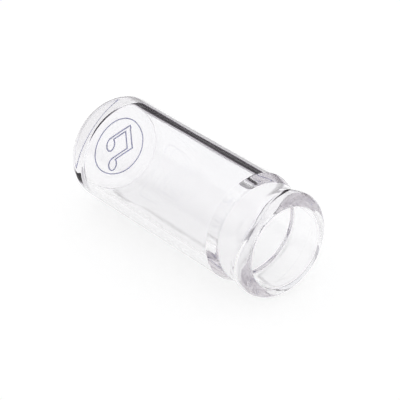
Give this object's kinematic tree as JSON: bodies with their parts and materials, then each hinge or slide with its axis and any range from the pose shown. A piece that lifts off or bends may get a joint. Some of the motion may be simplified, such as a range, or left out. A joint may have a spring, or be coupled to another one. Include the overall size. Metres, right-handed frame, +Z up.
{
  "type": "glass guitar slide",
  "caption": "Hollow glass cylinder with a closed, rounded base, a shallow neck and a rolled lip, worn on a finger to slide along guitar strings.",
  "frame": {"origin": "centre of the closed base's outer face, on the axis of the glass", "axes": "+X along the finger bore and out of the mouth, +Z up; the slide lies on its side on the plane Z = -14 mm"},
  "size_m": [0.0687, 0.028, 0.028],
  "materials": {
    "clear_glass": "polished",
    "printed_ink": "matte"
  },
  "bodies": {
    "root": {"glass_body": "clear_glass", "print_ring": "printed_ink", "print_notes": "printed_ink"}
  },
  "joints": []
}
